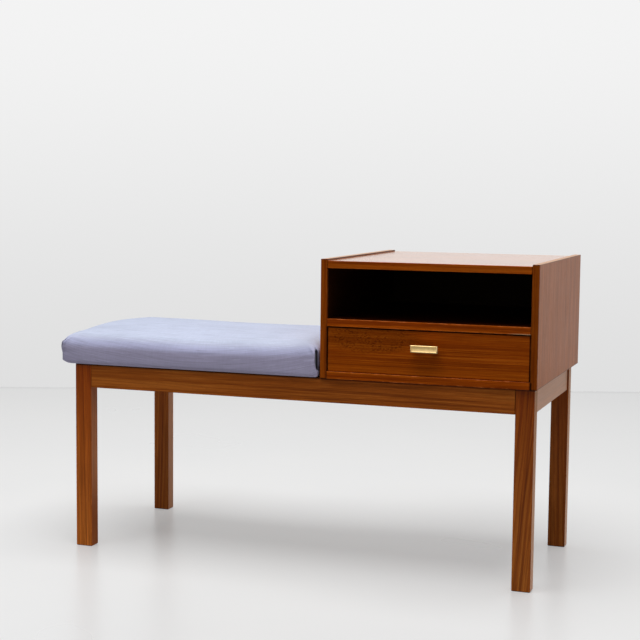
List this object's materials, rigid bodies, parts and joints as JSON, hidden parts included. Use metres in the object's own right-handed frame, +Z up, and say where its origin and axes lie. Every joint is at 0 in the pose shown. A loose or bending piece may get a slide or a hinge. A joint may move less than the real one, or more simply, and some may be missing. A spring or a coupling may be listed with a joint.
{
  "type": "telephone bench",
  "caption": "Low teak telephone bench: upholstered lilac seat pad beside a small cabinet with an open shelf and a sliding drawer, on a four-legged frame.",
  "frame": {"origin": "on the floor at the middle of the bench's box, seen from above", "axes": "+Z up, +X along the bench from the seat to the cabinet, the drawer opens towards -Y"},
  "size_m": [0.916, 0.43, 0.565],
  "materials": {
    "teak_solid": "oiled teak, straight grain",
    "teak_lipping": "oiled solid teak edge strip",
    "teak_veneer": "satin teak veneer",
    "teak_drawer_front": "satin figured teak",
    "beech": "bare planed beech",
    "plywood": "bare sanded plywood",
    "lilac_fabric": "woven lilac upholstery cloth",
    "brass": "satin brass",
    "screw_steel": "plain slotted screws"
  },
  "bodies": {
    "bench": {"leg_front_left": "teak_solid", "leg_front_right": "teak_solid", "leg_rear_left": "teak_solid", "leg_rear_right": "teak_solid", "apron_front": "teak_solid", "apron_rear": "teak_solid", "apron_left": "teak_solid", "apron_right": "teak_solid", "cross_rail": "beech", "corner_block_front_left": "beech", "corner_block_front_right": "beech", "corner_block_rear_left": "beech", "corner_block_rear_right": "beech", "frame_dowels": "beech", "corner_block_screws": "screw_steel", "seat_board": "plywood", "seat_cushion": "lilac_fabric", "seat_screws": "screw_steel", "cabinet_side_left": "teak_veneer", "cabinet_side_right": "teak_veneer", "cabinet_top": "teak_veneer", "cabinet_shelf": "teak_veneer", "cabinet_bottom": "teak_veneer", "cabinet_back": "plywood", "lipping_side_left": "teak_lipping", "lipping_side_right": "teak_lipping", "lipping_top": "teak_lipping", "lipping_shelf": "teak_lipping", "lipping_bottom": "teak_lipping", "cabinet_dowels": "beech", "cabinet_screws": "screw_steel", "back_screws": "screw_steel", "drawer_runner_left": "beech", "drawer_runner_right": "beech", "runner_screws": "screw_steel"},
    "drawer": {"drawer_front": "teak_drawer_front", "drawer_side_left": "beech", "drawer_side_right": "beech", "drawer_back": "beech", "drawer_bottom": "plywood", "drawer_dowels": "beech", "drawer_back_screws": "screw_steel", "drawer_bottom_screws": "screw_steel", "drawer_pull": "brass", "pull_screws": "screw_steel"}
  },
  "joints": [
    {"name": "drawer_slide", "type": "slide", "parent": "bench", "child": "drawer", "axis": [0, -1, 0], "range_m": [0, 0.26]}
  ]
}
